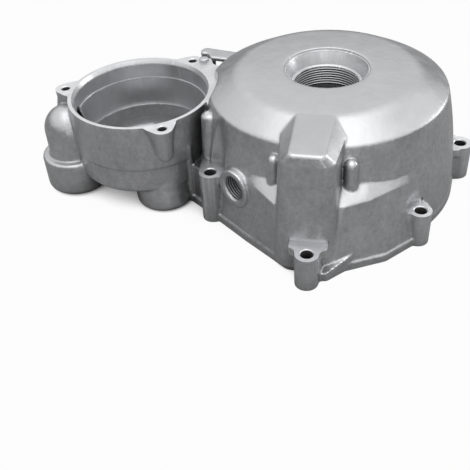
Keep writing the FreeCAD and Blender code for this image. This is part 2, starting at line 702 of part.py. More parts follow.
def hoop():
    """Plate that runs round the room for a bolt's socket, with the leg that carries it."""
    top = TOP_Z - HOOP_TOP_DROP
    under = top - HOOP_THICKNESS
    plate = soften(prism(about(HOOP_PLATE), HOOP_RADII, under, top), HOOP_ROUND, level(top))
    leg = prism(about(LEG_POINTS), [HOOP_ROUND] * len(LEG_POINTS), under - LEG_HEIGHT, under + HOOP_ROUND)
    start, end = about(LEG_WEB_POINTS)
    web = strip(start, end, LEG_WEB_WIDTH, under - LEG_HEIGHT, under - LEG_HEIGHT + LEG_WEB_HEIGHT)
    return [plate, leg, web]


def fork_web():
    """Level web that fills the back of the fork, and the round land on it."""
    web = prism(about(WEB_POINTS), [WEB_CORNER_R] * len(WEB_POINTS), ARM_TOP_Z - ARM_ROOF, POT_RIM_Z)
    land_top = POT_RIM_Z + LAND_RISE
    land = post(about([LAND_POINT])[0], POT_RIM_Z - LAND_RISE, land_top, LAND_R)
    return [web, soften(land, LAND_ROUND, level(land_top))]


def levering_tab():
    """Wedge beside the front bolt where a lever lifts the cover off."""
    points = about(TAB_POINTS)
    outline = Part.makePolygon([V(x, y, 0) for x, y in points + points[:1]])
    block = Part.Face(outline).extrude(V(0, 0, 2 * TAB_HIGH_Z))
    low, high = points[1], points[2]
    slope = math.degrees(math.atan2(TAB_HIGH_Z - TAB_LOW_Z, high[0] - low[0]))
    above = Part.makeBox(DRUM_R, DRUM_R, DRUM_R, V(-DRUM_R / 2, -DRUM_R / 2, 0))
    above.rotate(V(0, 0, 0), V(0, 1, 0), -slope)
    above.translate(V(low[0], low[1], TAB_LOW_Z))
    return block.cut(above)


def arm(radius, far_radius, bottom, top):
    """Belt from the drum to the arm's far centre."""
    return belt((0, 0), radius, ARM_CENTRE, far_radius, bottom, top)


def stator_cover():
    """The casting, then everything that is cut out of it."""
    solids = [shoulder(), front_box(), lobe(), fork_column(), levering_tab()]
    solids += flange() + pillars() + bolt_bosses() + pot() + pinion_housing() + slim_rib() + hoop() + fork_web()
    solids.append(arm(DRUM_R - BARREL_INSET, ARM_BORE_R + ARM_WALL, 0, ARM_TOP_Z))
    solids.append(timing_rod(TIMING_R, 0, TIMING_LENGTH))
    solids.append(slot_prism(SLOT_R + SLOT_WALL, 0, SLOT_LAND_Z))
    body = drum().multiFuse(solids)
    cuts = [drum_cavity(), centre_hole(), front_box_pocket(), pot_facing()]
    cuts.append(arm(DRUM_R - DRUM_WALL - BARREL_INSET, ARM_BORE_R, -OVERCUT, ARM_TOP_Z - ARM_ROOF))
    cuts.append(slot_prism(SLOT_R, -OVERCUT, SLOT_DEPTH))
    cuts += relief_solids(0.0) + stator_screws() + bolt_holes() + pot_bores() + lug_screws()
    cuts += pinion_room() + timing_cuts()
    for cut in cuts:
        body = body.cut(cut)
    return body.removeSplitter()


os.makedirs("parts", exist_ok=True)
cover = stator_cover()
print("solids", len(cover.Solids), "valid", cover.isValid(), "volume", round(cover.Volume), cover.BoundBox)
cover.exportStep("parts/stator_cover.step")
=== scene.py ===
import json
import math

import bmesh
import bpy
from bpy.props import FloatProperty, FloatVectorProperty, IntProperty, PointerProperty
from bpy.types import Operator, Panel, PropertyGroup
from mathutils import Matrix, Vector


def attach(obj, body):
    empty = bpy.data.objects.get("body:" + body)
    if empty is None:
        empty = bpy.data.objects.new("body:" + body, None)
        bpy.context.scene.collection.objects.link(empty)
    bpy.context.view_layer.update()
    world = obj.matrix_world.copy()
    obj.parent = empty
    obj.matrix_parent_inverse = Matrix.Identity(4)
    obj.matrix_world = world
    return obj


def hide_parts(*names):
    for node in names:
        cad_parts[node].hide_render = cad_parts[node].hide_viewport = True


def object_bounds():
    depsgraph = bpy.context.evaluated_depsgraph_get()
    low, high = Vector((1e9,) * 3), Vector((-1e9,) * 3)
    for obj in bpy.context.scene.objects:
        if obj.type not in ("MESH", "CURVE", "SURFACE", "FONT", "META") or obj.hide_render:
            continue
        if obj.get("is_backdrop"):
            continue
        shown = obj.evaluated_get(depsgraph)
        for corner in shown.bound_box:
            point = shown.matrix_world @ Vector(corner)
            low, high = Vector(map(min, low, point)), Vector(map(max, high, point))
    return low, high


bl_info = {
    "name": "Stator cover",
    "version": (1, 0, 0),
    "blender": (4, 5, 0),
    "location": "View3D > Sidebar > Stator cover",
    "description": "Die-cast engine side cover with milled faces and threaded holes",
    "category": "Object",
}

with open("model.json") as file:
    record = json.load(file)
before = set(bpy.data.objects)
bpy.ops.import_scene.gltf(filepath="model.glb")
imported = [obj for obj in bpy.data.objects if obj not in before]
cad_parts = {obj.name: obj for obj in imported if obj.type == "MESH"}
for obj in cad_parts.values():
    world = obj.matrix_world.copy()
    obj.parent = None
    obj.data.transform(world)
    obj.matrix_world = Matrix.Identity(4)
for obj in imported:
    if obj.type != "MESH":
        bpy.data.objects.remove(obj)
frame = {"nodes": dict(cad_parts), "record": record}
NODE = "stator_cover"
MOUNTS = {mount["name"]: mount for mount in frame["record"]["mounts"]}

MM = 0.001
UP = Vector((0, 0, 1))
DOWN = Vector((0, 0, -1))
OVERTRAVEL = 2 * MM  # how far a tool reaches past the metal that it cuts
TIMING_CHAMFER = 1.2 * MM
EDGE_ANGLE = math.radians(38)  # edges that turn more than this are drawn sharp

# Segments round a turned solid, by what it is for.
HOLE_SEGMENTS = 64
BOSS_SEGMENTS = 96
STOCK_SEGMENTS = 160
BORE_SEGMENTS = 240


def mount_place(name):
    """Centre of a mount, in metres."""
    return Vector(MOUNTS[name]["pos_m"])


def mount_radius(name):
    return MOUNTS[name]["dims"]["r_mm"] * MM


def mount_length(name):
    return MOUNTS[name]["dims"]["length_mm"] * MM


class Sock:
    """A node's output that builds Math nodes when it is used in a Python expression."""

    def __init__(self, graph, socket):
        self.graph = graph
        self.socket = socket

    def _math(self, operation, first, second):
        return self.graph.node("ShaderNodeMath", {"operation": operation}, {0: first, 1: second})

    def __add__(self, other):
        return self._math("ADD", self, other)

    def __radd__(self, other):
        return self._math("ADD", other, self)

    def __sub__(self, other):
        return self._math("SUBTRACT", self, other)

    def __rsub__(self, other):
        return self._math("SUBTRACT", other, self)

    def __mul__(self, other):
        return self._math("MULTIPLY", self, other)

    def __rmul__(self, other):
        return self._math("MULTIPLY", other, self)

    def __truediv__(self, other):
        return self._math("DIVIDE", self, other)

    def __rtruediv__(self, other):
        return self._math("DIVIDE", other, self)


class Graph:
    """A tree of nodes."""

    def __init__(self, tree):
        self.tree = tree
        tree.nodes.clear()

    def node(self, kind, settings=None, inputs=None, out=0):
        """One node with its settings, then the values or links of its sockets, where not None."""
        made = self.tree.nodes.new(kind)
        for key, value in (settings or {}).items():
            setattr(made, key, value)
        for key, value in (inputs or {}).items():
            if isinstance(value, Sock):
                self.tree.links.new(value.socket, made.inputs[key])
            elif value is not None:
                made.inputs[key].default_value = value
        return Sock(self, made.outputs[out]) if made.outputs else None


class Paint(Graph):
    """A material and the patterns in it, which lie on Object coordinates."""

    def __init__(self, name):
        self.material = bpy.data.materials.new(name)
        self.material.use_nodes = True
        super().__init__(self.material.node_tree)

    def finish(self, shader):
        self.node("ShaderNodeOutputMaterial", None, {"Surface": shader})
        return self.material

    def metal(self, looks, colour, roughness, normal=None):
        """Finishes the material as aluminium."""
        return self.finish(self.node("ShaderNodeBsdfPrincipled", None, {
            "Base Color": colour, "Metallic": looks.metal, "Roughness": roughness,
            "Normal": normal}))

    def noise(self, place, scale, detail=2.0, roughness=0.5):
        """Random pattern with a number of patches per metre."""
        return self.node("ShaderNodeTexNoise", None, {
            "Vector": place, "Scale": scale, "Detail": detail, "Roughness": roughness})

    def place(self):
        return self.node("ShaderNodeTexCoord", None, None, "Object")

    def pointiness(self):
        """Above a half on edges that stick out, below it in hollow corners."""
        return self.node("ShaderNodeNewGeometry", None, None, "Pointiness")

    def stretch(self, value, low, high):
        """Runs from 0 to 1 while a value goes from low to high."""
        return self.node("ShaderNodeMapRange", None, {
            "Value": value, "From Min": low, "From Max": high})

    def upright(self):
        """Runs from 0 on level faces to 1 on upright walls."""
        facing = self.node("ShaderNodeNewGeometry", None, None, "Normal")
        return self.stretch(self.node("ShaderNodeSeparateXYZ", None, {0: facing}, "Z"), 0.9, 0.45)

    def open_air(self, reach, samples):
        """Share of the directions over a face in which nothing is near."""
        return self.node("ShaderNodeAmbientOcclusion", {"samples": samples},
                         {"Distance": reach}, "AO")

    def shade(self, reach, most=0.6, least=0.1):
        """Runs from 0 on open faces to 1 deep in holes and hollows."""
        return self.stretch(self.open_air(reach, 12), most, least)

    def blend(self, factor, low, high):
        """Colour between two colours."""
        low, high = (value if isinstance(value, Sock) else (*value, 1) for value in (low, high))
        return self.node("ShaderNodeMix", {"data_type": "RGBA"}, {0: factor, 6: low, 7: high}, 2)

    def bump(self, height, strength, distance, normal=None):
        return self.node("ShaderNodeBump", None, {
            "Strength": strength, "Distance": distance, "Height": height, "Normal": normal})


def cast_aluminium(looks):
    """Shot-blasted casting: fine grain, faint clouds, painted highlights on its edges and painted
    shade in its hollow corners and holes.
    """
    paint = Paint("blasted_casting")
    grey = Vector(looks.cast_colour)
    place = paint.place()
    drift = paint.stretch(paint.noise(place, 18.0, 3.0), 0.35, 0.65)
    cloud = paint.stretch(paint.noise(place, 110.0, 5.0, 0.65), 0.32, 0.68)
    ripple = paint.noise(place, 240.0, 3.0)
    speckle = paint.stretch(paint.noise(place, 380.0, 3.0, 0.7), 0.32, 0.68)
    grain = paint.stretch(paint.noise(place, 900.0, 3.0, 0.6), 0.3, 0.7)
    upright = paint.upright()
    edge = paint.pointiness()
    # Mask of the painted highlight on edges that stick out; these edges are also made glossier.
    edge_highlight_mask = paint.stretch(edge, 0.508, 0.58)
    # Mask of the painted shade in hollow corners.
    crease_shade_mask = paint.stretch(edge, 0.492, 0.44)
    even = paint.blend(cloud * 0.5 + drift * 0.35 + grain * 0.15, grey * 0.92, grey * 1.03)
    patchy = paint.blend(cloud * 0.25 + drift * 0.2 + grain * 0.2 + speckle * 0.35,
                         grey * looks.dull_shade, grey * 1.26)
    dull = paint.blend(upright, even, patchy)
    # Painted highlight: edges that stick out are lightened.
    edge_highlighted = paint.blend(edge_highlight_mask * 0.8, dull, grey * 1.5)
    # Painted shade: hollow corners are darkened.
    crease_shaded = paint.blend(crease_shade_mask * 0.5, edge_highlighted, grey * 0.45)
    # Painted shade from ambient occlusion, down to near black deep in holes and hollows.
    colour = paint.blend(paint.shade(40 * MM) * looks.hollow_shade, crease_shaded, grey * 0.1)
    pitted = paint.bump(speckle, upright * 0.3 + 0.06, 0.2 * MM)
    return paint.metal(looks, colour, looks.cast_roughness + cloud * 0.1 - edge_highlight_mask * 0.12,
                       paint.bump(ripple, 0.2, 0.6 * MM, pitted))


def milled_aluminium(looks):
    """Turned and milled faces: brighter, with fine tool lines, painted highlights on their edges
    and painted shade in their holes.
    """
    paint = Paint("milled_metal")
    grey = Vector(looks.milled_colour)
    place = paint.place()
    fine = paint.noise(place, 900.0, 2.0)
    cloud = paint.stretch(paint.noise(place, 70.0, 3.0), 0.3, 0.7)
    # Painted highlight: edges that stick out are lightened, from pointiness.
    edge = paint.stretch(paint.pointiness(), 0.51, 0.58)
    plain = paint.blend(edge * 0.6, paint.blend(cloud, grey * 0.86, grey * 1.06), grey * 1.3)
    # Painted shade from ambient occlusion, down to near black deep in holes and in the pot.
    colour = paint.blend(paint.shade(50 * MM) * looks.hollow_shade, plain, grey * 0.1)
    return paint.metal(looks, colour, looks.milled_roughness + fine * 0.12,
                       paint.bump(fine, 0.15, 0.1 * MM))


def threaded_aluminium(looks):
    """Cut threads in painted shade: darker than milled faces, darker still deep in their bores and
    darkest in their grooves.
    """
    paint = Paint("threaded_metal")
    grey = Vector(looks.milled_colour)
    # Mask of the painted shade in thread grooves, from ambient occlusion; the grooves are also
    # rougher.
    groove_shade = paint.shade(looks.groove_shade, 0.95, 0.35)
    # Painted shade: the whole thread is darker than milled faces, near black deep in its bore.
    bore_shaded = paint.blend(paint.shade(30 * MM) * looks.hollow_shade, grey * 0.72, grey * 0.1)
    return paint.metal(looks, paint.blend(groove_shade * 0.9, bore_shaded, grey * 0.06),
                       looks.milled_roughness + groove_shade * 0.2)


def pale_floor(looks):
    """Floor that reads white to the camera and in clear metal, with a painted soft shadow where
    the object is near.
    """
    paint = Paint("pale_floor")
    camera = paint.node("ShaderNodeLightPath", None, None, "Is Camera Ray")
    glossy = paint.node("ShaderNodeLightPath", None, None, "Is Glossy Ray")
    clear = paint.node("ShaderNodeLightPath", None, None, "Is Transmission Ray")
    plain = paint.node("ShaderNodeBsdfDiffuse", None, {"Color": (*looks.floor_colour, 1)})
    white = paint.node("ShaderNodeEmission", None, {"Color": (1, 1, 1, 1), "Strength": 1.0})
    # Painted shadow: near the object, from ambient occlusion, the white backdrop gives way to the
    # dark lamp-lit floor.
    outside_painted_shadow = paint.stretch(paint.open_air(100 * MM, 16), 0.03, 0.42)
    seen = outside_painted_shadow * (camera * looks.backdrop + (glossy + clear) * looks.backdrop_in_metal)
    return paint.finish(paint.node("ShaderNodeMixShader", None, {0: seen, 1: plain, 2: white}))


def mesh_object(name, mesh):
    made = bpy.data.objects.new(name, mesh)
    bpy.context.scene.collection.objects.link(made)
    return made


def discard(obj):
    """Takes a helper object and its mesh out of the file."""
    mesh = obj.data
    bpy.data.objects.remove(obj)
    bpy.data.meshes.remove(mesh)


def to_object(name, solid):
    """Object from mesh data that is still being worked on, which is freed."""
    mesh = bpy.data.meshes.new(name)
    solid.to_mesh(mesh)
    solid.free()
    return mesh_object(name, mesh)


def lathe(name, profile, centre, segments=STOCK_SEGMENTS, axis=UP):
    """Closed solid turned about an axis through a point, from a loop of (radius, height)."""
    solid = bmesh.new()
    turn = UP.rotation_difference(axis).to_matrix()
    rings = []
    for radius, height in profile:
        count = segments if radius > 0 else 1
        angles = [2 * math.pi * step / count for step in range(count)]
        rings.append([solid.verts.new(Vector(centre) + turn @ Vector((
            radius * math.cos(angle), radius * math.sin(angle), height))) for angle in angles])
    for lower, upper in zip(rings, rings[1:] + rings[:1]):
        for step in range(segments if len(lower) + len(upper) > 2 else 0):
            after = (step + 1) % segments
            loop = [lower[step % len(lower)], lower[after % len(lower)],
                    upper[after % len(upper)], upper[step % len(upper)]]
            solid.faces.new(list(dict.fromkeys(loop)))
    bmesh.ops.recalc_face_normals(solid, faces=solid.faces)
    return to_object(name, solid)


def box(name, low, high):
    solid = bmesh.new()
    bmesh.ops.create_cube(solid, size=1.0)
    for corner in solid.verts:
        corner.co = Vector([low[axis] if corner.co[axis] < 0 else high[axis] for axis in range(3)])
    return to_object(name, solid)


def apply_stack(obj):
    """Turns the object's modifiers into its mesh."""
    graph = bpy.context.evaluated_depsgraph_get()
    rough = obj.data
    obj.data = bpy.data.meshes.new_from_object(obj.evaluated_get(graph))
    obj.modifiers.clear()
    bpy.data.meshes.remove(rough)


def combine(obj, helpers, operation):
    """Adds or takes away helper solids, which are then discarded."""
    for helper in helpers:
        step = obj.modifiers.new(helper.name, "BOOLEAN")
        step.operation = operation
        step.solver = "MANIFOLD"
        step.object = helper
    apply_stack(obj)
    for helper in helpers:
        discard(helper)


def level_faces(solid, height, up):
    """Faces of a solid that lie flat at one height and face up (1) or down (-1)."""
    flat, slack = 0.999, 0.02 * MM
    return [face for face in solid.faces
            if face.normal.z * up > flat and abs(face.calc_center_median().z - height) < slack]


def raise_faces(solid, faces, rise):
    made = bmesh.ops.extrude_face_region(solid, geom=faces)
    corners = [item for item in made["geom"] if isinstance(item, bmesh.types.BMVert)]
    bmesh.ops.translate(solid, vec=(0, 0, rise), verts=corners)


def facing_cutter(name, solid, height, sizes):
    """Milling cut over all the faces at one height, a little wider than they are."""
    cutter = bmesh.new()
    corners = {}
    for face in level_faces(solid, height, 1):
        for corner in face.verts:
            if corner.index not in corners:
                corners[corner.index] = cutter.verts.new(corner.co)
        cutter.faces.new([corners[corner.index] for corner in face.verts])
    outward = {}
    for edge in cutter.edges:
        if not edge.is_boundary:
            continue
        along = edge.link_loops[0].link_loop_next.vert.co - edge.link_loops[0].vert.co
        side = Vector((along.y, -along.x, 0)).normalized()
        for corner in edge.verts:
            outward.setdefault(corner, []).append(side)
    shortest = 0.4  # keeps a sharp corner from running far out
    for corner, sides in outward.items():
        mean = sum(sides, Vector()) / len(sides)
        corner.co += mean * (sizes.overrun / max(mean.length_squared, shortest))
    raise_faces(cutter, list(cutter.faces), sizes.allowance * 2)
    bmesh.ops.recalc_face_normals(cutter, faces=cutter.faces)
    return to_object(name, cutter)


def pot_cutter(sizes):
    """Bore, step and bevelled mouth of the pot."""
    place, bore = mount_place("pot_mouth"), mount_radius("pot_mouth")
    top, step = mount_length("pot_mouth") / 2, -mount_length("pot_mouth") / 2
    face = mount_place("pot_screws").z - place.z
    floor, seat = sizes.pot_floor - place.z, bore - sizes.pot_step
    slope = sizes.rim_bevel / (face - top)
    over = face + sizes.allowance * 2
    return lathe("pot_cutter", [
        (0, floor), (seat, floor), (seat, step), (bore, step), (bore, top),
        (bore + slope * (over - top), over), (0, over)], place, BORE_SEGMENTS)


def pot_stock(sizes):
    """Metal left in the pot's mouth for its cutter."""
    place, bore = mount_place("pot_mouth"), mount_radius("pot_mouth")
    foot = -mount_length("pot_mouth") / 2 - OVERTRAVEL
    face = mount_place("pot_screws").z - place.z
    inner, outer = bore - sizes.pot_step - sizes.allowance, bore + sizes.rim_bevel
    return lathe("pot_stock", [
        (inner, foot), (outer, foot), (outer, face + sizes.allowance),
        (inner, face + sizes.allowance)], place)


def facing_wall(sizes):
    """Wall that the facing round the pot leaves in the cone of the drum."""
    place, inner = mount_place("pot_screws"), sizes.facing - 4 * MM
    height, lean = 14 * MM, 1.2 * MM
    return lathe("facing_wall", [
        (inner, 0), (sizes.facing, 0), (sizes.facing + lean, height),
        (inner, height)], place, BORE_SEGMENTS)


def hub_cutter(sizes):
    """Thread bore, cone and ledge in the middle of the drum."""
    place, bore = mount_place("plug_hole"), mount_radius("plug_hole")
    length, ledge_width = mount_length("plug_hole"), 1 * MM
    ledge, top = sizes.ledge - place.z, sizes.crown - place.z + sizes.allowance
    return lathe("hub_cutter", [
        (0, -length), (bore, -length), (bore, length / 2), (bore + sizes.hub_land, length / 2),
        (sizes.recess - ledge_width, ledge), (sizes.recess, ledge), (sizes.recess, top),
        (0, top)], place, BORE_SEGMENTS)


def hub_stock(sizes):
    """Metal that fills the recess up to the dome."""
    place, land = mount_place("plug_hole"), mount_length("plug_hole") / 2
    outer, crown = sizes.recess + 0.6 * MM, sizes.crown - place.z
    neck, foot, shoulder = outer - 4 * MM, -land + 1 * MM, land - 3 * MM
    return lathe("hub_stock", [
        (0, foot), (neck, foot), (neck, shoulder), (outer, land),
        (outer, crown - sizes.crown_fall), (0, crown)], place)


def drill(name, place, radius, depth, chamfer, axis=UP, segments=HOLE_SEGMENTS):
    """Drilled hole with a countersink at its mouth."""
    mouth = radius + chamfer
    return lathe(name, [
        (0, -depth), (radius, -depth), (radius, -chamfer), (mouth, 0), (mouth, OVERTRAVEL),
        (0, OVERTRAVEL)], place, segments, axis)


def drills(sizes):
    """Bolt holes, dowel holes, lug screws, stator screws and the starter's nose."""
    made = []
    for name in MOUNTS:
        if name.startswith("bolt_"):
            mouth = mount_place(name) + UP * mount_length(name) / 2
            made.append(drill(name, mouth, mount_radius(name), mount_length(name) + OVERTRAVEL,
                              sizes.chamfer))
        elif name.startswith("dowel_") or name == "starter_nose":
            mouth = mount_place(name) + DOWN * mount_length(name) / 2
            made.append(drill(name, mouth, mount_radius(name), mount_length(name),
                              sizes.chamfer, DOWN, BOSS_SEGMENTS))
    circles = (("pot_screws", sizes.first_lug, UP), ("stator_screws", sizes.first_post, DOWN))
    for name, first, axis in circles:
        dims = MOUNTS[name]["dims"]
        for index in range(dims["count"]):
            angle = first + 2 * math.pi * index / dims["count"]
            out = Vector((math.cos(angle), math.sin(angle), 0))
            spot = mount_place(name) + dims["pcd_mm"] * MM / 2 * out
            made.append(drill("%s_%d" % (name, index), spot, dims["hole_r_mm"] * MM,
                              sizes.screw_depth, sizes.chamfer, axis))
    return made


def timing_heading(sizes):
    return Vector((math.cos(sizes.timing_heading), math.sin(sizes.timing_heading), 0))


def timing_tools(sizes):
    """Stock and cutters of the threaded hole in the side of the drum."""
    place, heading = Vector(sizes.timing_place), timing_heading(sizes)
    boss, over, root, depth = sizes.timing_boss, sizes.allowance, -3 * MM, 24 * MM
    wide = boss + 0.3 * MM
    stock = lathe("timing_stock", [(0, root), (boss, root), (boss, over), (0, over)],
                  place, BOSS_SEGMENTS, heading)
    face = lathe("timing_face", [(0, 0), (wide, 0), (wide, 2 * over), (0, 2 * over)],
                 place, BOSS_SEGMENTS, heading)
    hole = drill("timing_hole", place, sizes.timing_radius, depth, TIMING_CHAMFER, heading,
                 BOSS_SEGMENTS)
    return stock, [face, hole]


class StatorCoverCasting(PropertyGroup):
    """Sizes of the casting and of its milled faces and holes"""

    voxel: FloatProperty(
        name="Grid", description="Grid of the softened casting",
        default=0.6 * MM, unit="LENGTH", precision=5)
    soften: IntProperty(
        name="Softening", description="Rounds of smoothing on cast edges", default=4, min=0)
    limit: IntProperty(
        name="Triangle limit", description="Most triangles of the softened casting",
        default=176000)
    allowance: FloatProperty(
        name="Allowance", description="Metal left on faces that are milled",
        default=1.2 * MM, unit="LENGTH", precision=5)
    overrun: FloatProperty(
        name="Overrun", description="How far a milling cut runs past its face",
        default=0.35 * MM, unit="LENGTH", precision=5)
    chamfer: FloatProperty(
        name="Chamfer", description="Countersink of drilled holes",
        default=0.5 * MM, unit="LENGTH", precision=5)
    pot_floor: FloatProperty(
        name="Pot floor", description="Height of the pot's floor",
        default=28.8 * MM, unit="LENGTH", precision=5)
    pot_step: FloatProperty(
        name="Pot step", description="Step in the pot's bore",
        default=0.8 * MM, unit="LENGTH", precision=5)
    rim_bevel: FloatProperty(
        name="Rim bevel", description="Width of the bevel at the pot's mouth",
        default=1.6 * MM, unit="LENGTH", precision=5)
    facing: FloatProperty(
        name="Facing", description="Radius of the level facing round the pot",
        default=45.1 * MM, unit="LENGTH", precision=5)
    recess: FloatProperty(
        name="Recess", description="Radius of the recess in the dome",
        default=23.6 * MM, unit="LENGTH", precision=5)
    ledge: FloatProperty(
        name="Ledge", description="Height of the ledge in the recess",
        default=70.125 * MM, unit="LENGTH", precision=5)
    hub_land: FloatProperty(
        name="Hub land", description="Flat ring round the plug's thread",
        default=1.6 * MM, unit="LENGTH", precision=5)
    crown: FloatProperty(
        name="Crown", description="Height of the dome's middle",
        default=71.5 * MM, unit="LENGTH", precision=5)
    crown_fall: FloatProperty(
        name="Crown fall", description="Drop of the dome at the recess",
        default=0.35 * MM, unit="LENGTH", precision=5)
    screw_depth: FloatProperty(
        name="Screw depth", description="Depth of the tapped holes",
        default=10 * MM, unit="LENGTH", precision=5)
    first_lug: FloatProperty(
        name="First lug", description="Direction of the first lug from the pot's middle",
        default=math.radians(-72), unit="ROTATION")
    first_post: FloatProperty(
        name="First post", description="Direction of the first stator post",
        default=math.radians(90), unit="ROTATION")
    timing_place: FloatVectorProperty(
        name="Timing hole", description="Middle of the timing hole's mouth", size=3,
        default=(-57.095 * MM, -50.160 * MM, 28.6 * MM), subtype="TRANSLATION")
    timing_heading: FloatProperty(
        name="Timing heading", description="Direction that the timing hole faces",
        default=math.radians(-141), unit="ROTATION")
    timing_radius: FloatProperty(
        name="Timing radius", description="Radius of the timing hole",
        default=7 * MM, unit="LENGTH", precision=5)
    timing_boss: FloatProperty(
        name="Timing boss", description="Radius of the boss round the timing hole",
        default=10.9 * MM, unit="LENGTH", precision=5)


class StatorCoverThreads(PropertyGroup):
    """Sizes of the two fine threads"""

    pitch: FloatProperty(
        name="Pitch", description="Distance between thread turns",
        default=1.5 * MM, unit="LENGTH", precision=5)
    depth: FloatProperty(
        name="Depth", description="Height of the thread ridge",
        default=0.85 * MM, unit="LENGTH", precision=5)
    plug_length: FloatProperty(
        name="Plug thread", description="Length of the plug hole's thread",
        default=13.0 * MM, unit="LENGTH", precision=5)
    timing_length: FloatProperty(
        name="Timing thread", description="Length of the timing hole's thread",
        default=13.5 * MM, unit="LENGTH", precision=5)


class StatorCoverLooks(PropertyGroup):
    """Colours of the metal and the studio round it"""

    cast_colour: FloatVectorProperty(
        name="Cast colour", description="Base colour of the casting", size=3,
        default=(0.546, 0.551, 0.562), subtype="COLOR")
    cast_roughness: FloatProperty(
        name="Cast roughness", description="Roughness of the casting",
        default=0.34, subtype="FACTOR", min=0, max=1)
    dull_shade: FloatProperty(
        name="Dull shade", description="Share of the cast colour in its dull patches",
        default=0.68, subtype="FACTOR", min=0, max=1)
    milled_colour: FloatVectorProperty(
        name="Milled colour", description="Base colour of milled faces", size=3,
        default=(0.72, 0.726, 0.74), subtype="COLOR")
    milled_roughness: FloatProperty(
        name="Milled roughness", description="Roughness of milled faces",
        default=0.3, subtype="FACTOR", min=0, max=1)
    metal: FloatProperty(
        name="Metal", description="Metallic share of all finishes",
        default=0.9, subtype="FACTOR", min=0, max=1)
    # Reach of the painted shade in thread grooves.
    groove_shade: FloatProperty(
        name="Groove", description="Depth to which thread grooves are dark",
        default=1.2 * MM, unit="LENGTH", precision=5)
    # Strength of the painted shade in deep holes and hollows.
    hollow_shade: FloatProperty(
        name="Hollow shade", description="How dark deep holes and hollows are",
        default=0.85, subtype="FACTOR", min=0, max=1)
    floor_colour: FloatVectorProperty(
        name="Floor colour", description="Colour of the floor", size=3,
        default=(0.25, 0.25, 0.25), subtype="COLOR")
    backdrop: FloatProperty(
        name="Backdrop", description="White that the camera sees on the floor",
        default=0.97, subtype="FACTOR", min=0, max=1)
    backdrop_in_metal: FloatProperty(
        name="Backdrop in metal", description="White that metal shows of the floor",
        default=0.04, subtype="FACTOR", min=0, max=1)
    sky_low: FloatProperty(
        name="Low sky", description="Studio light from near the floor", default=0.05, min=0)
    sky_high: FloatProperty(
        name="High sky", description="Studio light from above", default=1.02, min=0)
    lamp: FloatProperty(
        name="Lamp", description="Power of the lamp above", default=3.2, unit="POWER")


class STATORCOVER_OT_casting(Operator):
    """Casting with soft edges, its milled faces and its drilled holes"""

    bl_idname = "statorcover.casting"
    bl_label = "Casting"

    def execute(self, context):
        sizes = context.scene.stator_cover_casting
        looks = context.scene.stator_cover_looks
        cast, facings = self.stock(sizes)
        timing_stock, timing_cuts = timing_tools(sizes)
        combine(cast, [pot_stock(sizes), hub_stock(sizes), timing_stock], "UNION")
        self.soften(cast, sizes)
        as_cast, milled = cast_aluminium(looks), milled_aluminium(looks)
        cast.data.materials.clear()
        cast.data.materials.append(as_cast)
        cast.data.materials.append(milled)
        cutters = facings + [self.base(), facing_wall(sizes), pot_cutter(sizes), hub_cutter(sizes)]
        cutters += timing_cuts + drills(sizes)
        for cutter in cutters:
            cutter.data.materials.append(milled)
        combine(cast, cutters, "DIFFERENCE")
        self.clear_chips(cast)
        for face in cast.data.polygons:
            face.use_smooth = True
        cast.data.set_sharp_from_angle(angle=EDGE_ANGLE)
        if not cast.data.polygons:
            raise RuntimeError("the casting came out empty")
        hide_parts(NODE)
        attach(cast, "root")
        return {"FINISHED"}

    @staticmethod
    def stock(sizes):
        """Rough casting, with metal left on its level faces, and the cutters that take it off."""
        solid = bmesh.new()
        solid.from_mesh(frame["nodes"][NODE].data)
        bmesh.ops.remove_doubles(solid, verts=solid.verts, dist=MM / 1000)
        solid.normal_update()
        solid.verts.index_update()
        heights = {mount_place("pot_screws").z}
        for name in MOUNTS:
            if name.startswith("bolt_"):
                heights.add(mount_place(name).z + mount_length(name) / 2)
        cutters, chosen = [], []
        for index, height in enumerate(sorted(heights)):
            cutters.append(facing_cutter("facing_%d" % index, solid, height, sizes))
            chosen += level_faces(solid, height, 1)
        raise_faces(solid, chosen, sizes.allowance)
        raise_faces(solid, level_faces(solid, 0, -1), -sizes.allowance)
        return to_object("cast_body", solid), cutters

    @staticmethod
    def soften(cast, sizes):
        """Rounds the edges of the rough casting and thins its mesh."""
        grid = cast.modifiers.new("grid", "REMESH")
        grid.mode = "VOXEL"
        grid.voxel_size = sizes.voxel
        soft = cast.modifiers.new("soften", "SMOOTH")
        soft.factor = 0.5
        soft.iterations = sizes.soften
        apply_stack(cast)
        triangles = sum(len(face.vertices) - 2 for face in cast.data.polygons)
        thin = cast.modifiers.new("thin", "DECIMATE")
        thin.ratio = min(1.0, sizes.limit / triangles)
        apply_stack(cast)

    @staticmethod
    def clear_chips(cast):
        """Merges corners that lie together and drops the tiny loose bits that cutters leave."""
        solid = bmesh.new()
        solid.from_mesh(cast.data)
        bmesh.ops.remove_doubles(solid, verts=solid.verts, dist=MM / 1000)
        waiting, islands = set(solid.verts), []
        while waiting:
            island, fresh = [], [waiting.pop()]
            while fresh:
                corner = fresh.pop()
                island.append(corner)
                near = [edge.other_vert(corner) for edge in corner.link_edges]
                near = [other for other in near if other in waiting]
                waiting.difference_update(near)
                fresh += near
            islands.append(island)
        islands.sort(key=len)
        chips = [corner for island in islands[:-1] for corner in island]
        bmesh.ops.delete(solid, geom=chips, context="VERTS")
        solid.to_mesh(cast.data)
        solid.free()

    @staticmethod
    def base():
        """Cut that faces the joint with the crankcase, all over and at height 0."""
        low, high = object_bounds()
        margin = 10 * MM
        return box("base", (low[0] - margin, low[1] - margin, -margin),
                   (high[0] + margin, high[1] + margin, 0))


